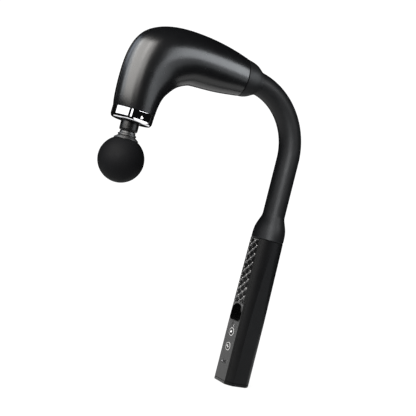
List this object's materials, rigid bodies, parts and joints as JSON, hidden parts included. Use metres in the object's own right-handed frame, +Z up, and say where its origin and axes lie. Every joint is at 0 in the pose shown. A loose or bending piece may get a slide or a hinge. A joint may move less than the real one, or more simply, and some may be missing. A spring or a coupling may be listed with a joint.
{
  "type": "massage gun",
  "caption": "Percussive massage gun: straight handle with button panel, long curved neck and a bent head whose plunger drives a round foam ball.",
  "frame": {"origin": "centre of the handle's flat bottom face", "axes": "+Z up along the handle, -X toward the handle's front face and out to the head, the plane y = 0 is the plane of the neck's bend"},
  "size_m": [0.2236, 0.0444, 0.3325],
  "materials": {
    "shell_plastic": "satin black",
    "ring_chrome": "mirror",
    "mark_white": "printed",
    "soft_rubber": "matte soft-touch",
    "seal_rubber": "matte",
    "o_ring_rubber": "satin",
    "handle_plastic": "soft-touch",
    "grip_plastic": "gloss",
    "panel_plastic": "satin gloss",
    "lens_plastic": "gloss",
    "coupling_plastic": "gloss",
    "collar_plastic": "satin",
    "foam_skin": "matte",
    "light_guide": "translucent white",
    "inner_plastic": "moulded",
    "frame_metal": "cast",
    "tube_metal": "drawn",
    "steel": "ground",
    "rotor_metal": "satin",
    "screw_steel": "black oxide",
    "bush_bronze": "plain",
    "winding_copper": "enamelled",
    "contact_metal": "plated",
    "board_green": "solder mask",
    "component_black": "moulded",
    "wire_red": "insulated",
    "cell_blue": "shrink wrap"
  },
  "bodies": {
    "housing": {"head_shell_left": "shell_plastic", "head_shell_right": "shell_plastic", "shell_screws": "screw_steel", "nose_ring": "ring_chrome", "ring_mark": "mark_white", "dust_seal": "seal_rubber", "guide_bush": "bush_bronze", "mechanism_frame": "frame_metal", "motor_base": "frame_metal", "motor_bearings": "steel", "stator_core": "rotor_metal", "stator_windings": "winding_copper", "motor_screws": "screw_steel", "driver_board": "board_green", "driver_components": "component_black", "neck_upper_clamp": "inner_plastic", "neck_boot": "soft_rubber", "neck_sleeve": "soft_rubber", "neck_tube": "tube_metal", "neck_lower_clamp": "inner_plastic", "clamp_screws": "screw_steel", "wire_harness": "wire_red", "handle_shell": "handle_plastic", "grip_panel": "grip_plastic", "control_panel": "panel_plastic", "display_lens": "lens_plastic", "display_module": "inner_plastic", "light_rings": "light_guide", "tact_switches": "steel", "control_board": "board_green", "board_screws": "screw_steel", "charging_port": "steel", "lower_cell": "cell_blue", "upper_cell": "cell_blue", "battery_holder": "inner_plastic", "battery_contacts": "contact_metal", "end_cap": "handle_plastic", "end_cap_screws": "screw_steel"},
    "rotor": {"rotor_bell": "rotor_metal", "rotor_magnets": "rotor_metal", "motor_shaft": "steel", "eccentric": "bush_bronze", "crank_pin": "steel", "roller_bearing": "steel"},
    "plunger": {"plunger_yoke": "steel", "plunger_rod": "steel", "plunger_coupling": "coupling_plastic"},
    "massage_head": {"stem_core": "collar_plastic", "o_rings": "o_ring_rubber", "foam_ball": "foam_skin"},
    "power_button": {"power_button": "panel_plastic"},
    "mode_button": {"mode_button": "panel_plastic"}
  },
  "joints": [
    {"name": "plunger_slide", "type": "slide", "parent": "housing", "child": "plunger", "axis": [0, 0, -1], "range_m": [-0.004, 0.004]},
    {"name": "crank_spin", "type": "hinge", "parent": "housing", "child": "rotor", "pos_m": [-0.175, 0, 0.299], "axis": [1, 0, 0], "range_deg": [-90, 90]},
    {"name": "head_pull", "type": "slide", "parent": "plunger", "child": "massage_head", "axis": [0, 0, -1], "range_m": [0, 0.03]},
    {"name": "power_press", "type": "slide", "parent": "housing", "child": "power_button", "axis": [1, 0, 0], "range_m": [0, 0.0005], "stiffness_N_per_m": 2000, "springref_m": -0.0005},
    {"name": "mode_press", "type": "slide", "parent": "housing", "child": "mode_button", "axis": [1, 0, 0], "range_m": [0, 0.0005], "stiffness_N_per_m": 2000, "springref_m": -0.0005}
  ],
  "couplings": [
    {"joint": "crank_spin", "follows": "plunger_slide", "rad_per_m": -392.7}
  ]
}
